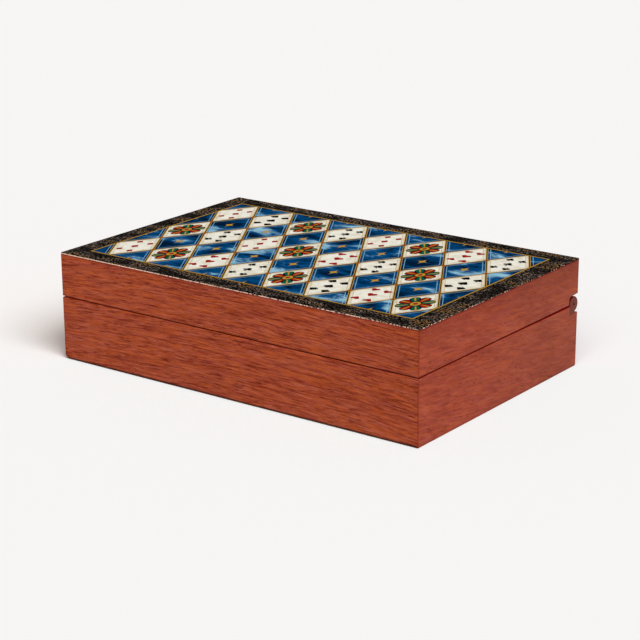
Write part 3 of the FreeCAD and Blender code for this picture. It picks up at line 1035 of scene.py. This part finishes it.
class CARDBOX_OT_stage(Operator):
    """Set up the floor, the lights, the background and the camera"""

    bl_idname = "cardbox.stage"
    bl_label = "Stage"

    def hidden_sky(self, ahead, beside, half):
        """Share of the sky that a side hides from the floor this far ahead and beside its middle."""
        near = ahead.most(NEAREST)
        slant = near.length_with(HEIGHT)
        left, right = half + beside, half - beside
        wide = (left / near).arctangent() + (right / near).arctangent()
        high = (left / slant).arctangent() + (right / slant).arctangent()
        return (wide - high * near / slant) / math.tau * ahead.rise(0.0, NEAREST)

    def paper(self, settings):
        """Pale paper, tinted cooler to cancel the red light that the lit sides throw on it, and with warm
        bounce light painted into the shaded side's shadow.
        """
        shader = Shader("floor_paper")
        right = self.hidden_sky(shader.x - LENGTH / 2, shader.y, DEPTH / 2)
        front = self.hidden_sky(-DEPTH / 2 - shader.y, shader.x, LENGTH / 2)
        left = self.hidden_sky(-LENGTH / 2 - shader.x, shader.y, DEPTH / 2)
        offset_share = right * RIGHT_COOLING + front * FRONT_COOLING
        bounce_share = left * shader.y.rise(*WARM_START) * LEFT_WARMING
        colour = shader.mix(offset_share, settings.backdrop, settings.bounce_offset)
        colour = shader.mix(bounce_share, colour, settings.painted_bounce)
        return shader.finish(colour, 0.9, Specular_IOR_Level=0.0)

    def floor(self, settings):
        """A disc so large that it meets the background."""
        mesh = bpy.data.meshes.new("floor")
        shape = bmesh.new()
        bmesh.ops.create_circle(shape, cap_ends=True, segments=96, radius=FLOOR_RADIUS)
        shape.to_mesh(mesh)
        shape.free()
        mesh.materials.append(self.paper(settings))
        placed("floor", mesh)

    def lights(self):
        """A broad key light from the right and a weaker one from the front."""
        for name, direction, strength, size in SUNS:
            lamp = bpy.data.lights.new(name, "SUN")
            lamp.energy = strength
            lamp.angle = math.radians(size)
            placed(name, lamp).rotation_euler = Vector(direction).to_track_quat("Z", "Y").to_euler()

    def world(self, settings):
        """Even, weak light from all round, and the backdrop's colour where it is seen or mirrored."""
        world = bpy.data.worlds.new("studio")
        world.use_nodes = True
        sky = Nodes(world.node_tree)
        rays = sky.node("ShaderNodeLightPath", out=None).outputs
        camera, gloss, glass = (
            Value(sky, rays[f"Is {kind} Ray"]) for kind in ("Camera", "Glossy", "Transmission")
        )
        lit = sky.node("ShaderNodeBackground", {}, {"Color": WHITE, "Strength": WORLD_STRENGTH})
        seen = sky.node("ShaderNodeBackground", {}, {"Color": as_colour(settings.backdrop)})
        chosen = sky.node("ShaderNodeMixShader", {}, {0: camera.most(gloss).most(glass), 1: lit, 2: seen})
        sky.node("ShaderNodeOutputWorld", {}, {"Surface": chosen}, out=None)
        bpy.context.scene.world = world

    def camera(self, settings):
        """Aims the camera at the box from the settings' direction."""
        azimuth, elevation = settings.azimuth, settings.elevation
        back = Vector((
            math.sin(azimuth) * math.cos(elevation),
            -math.cos(azimuth) * math.cos(elevation),
            math.sin(elevation),
        ))
        right = Vector((0, 0, 1)).cross(back).normalized()
        up = back.cross(right)
        place = (back * settings.distance + right * settings.aside + up * settings.above) * LENGTH * MM
        turn = Matrix((right, up, back)).transposed() @ Matrix.Rotation(settings.roll, 3, "Z")
        data = bpy.data.cameras.new("camera")
        data.lens = settings.lens
        data.sensor_width = 36.0
        camera = placed("camera", data)
        camera.matrix_world = Matrix.Translation(place) @ turn.to_4x4()
        bpy.context.scene.camera = camera

    def execute(self, context):
        settings = context.scene.cardbox_stage
        self.floor(settings)
        self.lights()
        self.world(settings)
        self.camera(settings)
        context.scene.view_settings.view_transform = "Standard"
        return {"FINISHED"}


class CARDBOX_PT_panel(Panel):
    """Lists the box's finishing steps and their settings"""

    bl_idname = "CARDBOX_PT_panel"
    bl_label = "Card Box"
    bl_space_type = "VIEW_3D"
    bl_region_type = "UI"
    bl_category = "Card Box"

    def draw(self, context):
        for operator in OPERATORS:
            self.layout.operator(operator.bl_idname)
        for group, settings in SETTINGS.items():
            for name in settings.__annotations__:
                self.layout.prop(getattr(context.scene, group), name)


SETTINGS = {
    "cardbox_wood": WoodSettings,
    "cardbox_print": PrintSettings,
    "cardbox_cloth": ClothSettings,
    "cardbox_stage": StageSettings,
}
OPERATORS = (
    CARDBOX_OT_stage,
    CARDBOX_OT_walls,
    CARDBOX_OT_hinge,
    CARDBOX_OT_print,
    CARDBOX_OT_baize,
)


def register():
    for settings in SETTINGS.values():
        bpy.utils.register_class(settings)
    for name, settings in SETTINGS.items():
        setattr(bpy.types.Scene, name, PointerProperty(type=settings))
    for operator in OPERATORS:
        bpy.utils.register_class(operator)
    bpy.utils.register_class(CARDBOX_PT_panel)


def unregister():
    bpy.utils.unregister_class(CARDBOX_PT_panel)
    for operator in reversed(OPERATORS):
        bpy.utils.unregister_class(operator)
    for name, settings in SETTINGS.items():
        delattr(bpy.types.Scene, name)
        bpy.utils.unregister_class(settings)


def main():
    """Finishes the box."""
    register()
    bpy.ops.cardbox.stage()
    bpy.ops.cardbox.walls()
    bpy.ops.cardbox.hinge()
    bpy.ops.cardbox.print()
    bpy.ops.cardbox.baize()


if __name__ == "__main__":
    main()
